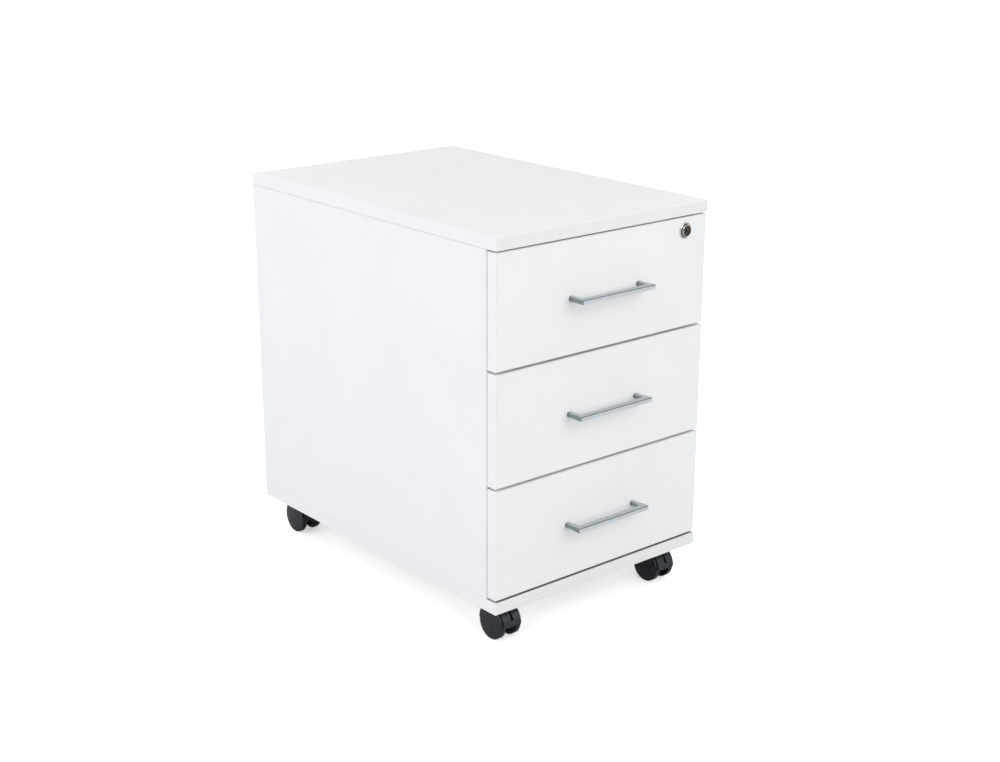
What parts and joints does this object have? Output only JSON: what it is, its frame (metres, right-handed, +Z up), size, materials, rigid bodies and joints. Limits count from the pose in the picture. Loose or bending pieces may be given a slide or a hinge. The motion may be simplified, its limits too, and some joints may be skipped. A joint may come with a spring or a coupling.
{
  "type": "mobile drawer pedestal",
  "caption": "White laminate-faced mobile pedestal with stacked drawers, satin bar handles, a corner cam lock and twin-wheel swivel casters.",
  "frame": {"origin": "centre of the bounding box's bottom face, on the floor under the cabinet", "axes": "+Z up, drawer fronts and handles face -Y, +X to the right seen from the front"},
  "size_m": [0.4, 0.6234, 0.6],
  "materials": {
    "white_laminate": "white melamine laminate on chipboard, satin, banded edges",
    "box_laminate": "white melamine laminate, satin",
    "box_bottom_hdf": "white lacquered hardboard",
    "handle_satin_metal": "satin silver",
    "lock_nickel": "bright nickel",
    "lock_plug_metal": "darker nickel",
    "zinc_fitting": "zinc plated",
    "zinc_screw": "zinc plated",
    "slide_steel": "white powder coat",
    "driver_steel": "zinc plated",
    "rod_aluminium": "mill finish",
    "white_plastic": "moulded white plastic",
    "caster_plate_steel": "black coating",
    "axle_steel": "bright steel",
    "caster_hood_plastic": "black moulded plastic, semi-gloss",
    "caster_wheel_plastic": "black moulded plastic, fine texture"
  },
  "bodies": {
    "carcass": {"top_panel": "white_laminate", "bottom_panel": "white_laminate", "left_side_panel": "white_laminate", "right_side_panel": "white_laminate", "back_panel": "white_laminate", "panel_fittings": "zinc_fitting", "cabinet_slides": "slide_steel", "slide_screws": "zinc_screw", "lock_rod_guides": "white_plastic", "caster_plates": "caster_plate_steel", "caster_screws": "zinc_screw"},
    "lock_rod": {"lock_rod": "rod_aluminium", "lock_rod_driver": "driver_steel"},
    "lock_plug": {"lock_plug": "lock_plug_metal", "lock_cam": "zinc_fitting"},
    "drawer_1": {"drawer_1_front": "white_laminate", "drawer_1_side_left": "box_laminate", "drawer_1_side_right": "box_laminate", "drawer_1_back": "box_laminate", "drawer_1_bottom": "box_bottom_hdf", "drawer_1_handle": "handle_satin_metal", "drawer_1_screws": "zinc_screw", "drawer_1_slides": "slide_steel", "drawer_1_catch": "white_plastic", "lock_housing": "lock_nickel", "lock_nut": "zinc_fitting"},
    "drawer_2": {"drawer_2_front": "white_laminate", "drawer_2_side_left": "box_laminate", "drawer_2_side_right": "box_laminate", "drawer_2_back": "box_laminate", "drawer_2_bottom": "box_bottom_hdf", "drawer_2_handle": "handle_satin_metal", "drawer_2_screws": "zinc_screw", "drawer_2_slides": "slide_steel", "drawer_2_catch": "white_plastic"},
    "drawer_3": {"drawer_3_front": "white_laminate", "drawer_3_side_left": "box_laminate", "drawer_3_side_right": "box_laminate", "drawer_3_back": "box_laminate", "drawer_3_bottom": "box_bottom_hdf", "drawer_3_handle": "handle_satin_metal", "drawer_3_screws": "zinc_screw", "drawer_3_slides": "slide_steel", "drawer_3_catch": "white_plastic"},
    "caster_front_left": {"caster_front_left_hood": "caster_hood_plastic", "caster_front_left_axle": "axle_steel"},
    "caster_front_left_wheel_left": {"caster_front_left_wheel_left": "caster_wheel_plastic"},
    "caster_front_left_wheel_right": {"caster_front_left_wheel_right": "caster_wheel_plastic"},
    "caster_front_right": {"caster_front_right_hood": "caster_hood_plastic", "caster_front_right_axle": "axle_steel"},
    "caster_front_right_wheel_left": {"caster_front_right_wheel_left": "caster_wheel_plastic"},
    "caster_front_right_wheel_right": {"caster_front_right_wheel_right": "caster_wheel_plastic"},
    "caster_rear_left": {"caster_rear_left_hood": "caster_hood_plastic", "caster_rear_left_axle": "axle_steel"},
    "caster_rear_left_wheel_left": {"caster_rear_left_wheel_left": "caster_wheel_plastic"},
    "caster_rear_left_wheel_right": {"caster_rear_left_wheel_right": "caster_wheel_plastic"},
    "caster_rear_right": {"caster_rear_right_hood": "caster_hood_plastic", "caster_rear_right_axle": "axle_steel"},
    "caster_rear_right_wheel_left": {"caster_rear_right_wheel_left": "caster_wheel_plastic"},
    "caster_rear_right_wheel_right": {"caster_rear_right_wheel_right": "caster_wheel_plastic"}
  },
  "joints": [
    {"name": "drawer_1_slide", "type": "slide", "parent": "carcass", "child": "drawer_1", "axis": [0, -1, 0], "range_m": [0, 0.39]},
    {"name": "drawer_2_slide", "type": "slide", "parent": "carcass", "child": "drawer_2", "axis": [0, -1, 0], "range_m": [0, 0.39]},
    {"name": "drawer_3_slide", "type": "slide", "parent": "carcass", "child": "drawer_3", "axis": [0, -1, 0], "range_m": [0, 0.39]},
    {"name": "lock_plug_turn", "type": "hinge", "parent": "drawer_1", "child": "lock_plug", "pos_m": [0.156, -0.27, 0.56], "axis": [0, -1, 0], "range_deg": [0, 90]},
    {"name": "lock_rod_lift", "type": "slide", "parent": "carcass", "child": "lock_rod", "axis": [0, 0, 1], "range_m": [0, 0.01273]},
    {"name": "caster_front_left_swivel", "type": "hinge", "parent": "carcass", "child": "caster_front_left", "pos_m": [-0.1556, -0.22685, 0.05], "axis": [0, 0, 1], "continuous": true},
    {"name": "caster_front_left_left_roll", "type": "hinge", "parent": "caster_front_left", "child": "caster_front_left_wheel_left", "pos_m": [-0.1556, -0.24085, 0.025], "axis": [1, 0, 0], "continuous": true},
    {"name": "caster_front_left_right_roll", "type": "hinge", "parent": "caster_front_left", "child": "caster_front_left_wheel_right", "pos_m": [-0.1556, -0.24085, 0.025], "axis": [1, 0, 0], "continuous": true},
    {"name": "caster_front_right_swivel", "type": "hinge", "parent": "carcass", "child": "caster_front_right", "pos_m": [0.1556, -0.22685, 0.05], "axis": [0, 0, 1], "continuous": true},
    {"name": "caster_front_right_left_roll", "type": "hinge", "parent": "caster_front_right", "child": "caster_front_right_wheel_left", "pos_m": [0.1556, -0.24085, 0.025], "axis": [1, 0, 0], "continuous": true},
    {"name": "caster_front_right_right_roll", "type": "hinge", "parent": "caster_front_right", "child": "caster_front_right_wheel_right", "pos_m": [0.1556, -0.24085, 0.025], "axis": [1, 0, 0], "continuous": true},
    {"name": "caster_rear_left_swivel", "type": "hinge", "parent": "carcass", "child": "caster_rear_left", "pos_m": [-0.1556, 0.25535, 0.05], "axis": [0, 0, 1], "continuous": true},
    {"name": "caster_rear_left_left_roll", "type": "hinge", "parent": "caster_rear_left", "child": "caster_rear_left_wheel_left", "pos_m": [-0.1556, 0.26935, 0.025], "axis": [1, 0, 0], "continuous": true},
    {"name": "caster_rear_left_right_roll", "type": "hinge", "parent": "caster_rear_left", "child": "caster_rear_left_wheel_right", "pos_m": [-0.1556, 0.26935, 0.025], "axis": [1, 0, 0], "continuous": true},
    {"name": "caster_rear_right_swivel", "type": "hinge", "parent": "carcass", "child": "caster_rear_right", "pos_m": [0.1556, 0.25535, 0.05], "axis": [0, 0, 1], "continuous": true},
    {"name": "caster_rear_right_left_roll", "type": "hinge", "parent": "caster_rear_right", "child": "caster_rear_right_wheel_left", "pos_m": [0.1556, 0.26935, 0.025], "axis": [1, 0, 0], "continuous": true},
    {"name": "caster_rear_right_right_roll", "type": "hinge", "parent": "caster_rear_right", "child": "caster_rear_right_wheel_right", "pos_m": [0.1556, 0.26935, 0.025], "axis": [1, 0, 0], "continuous": true}
  ],
  "couplings": [
    {"joint": "lock_plug_turn", "follows": "lock_rod_lift", "rad_per_m": 123.41}
  ]
}
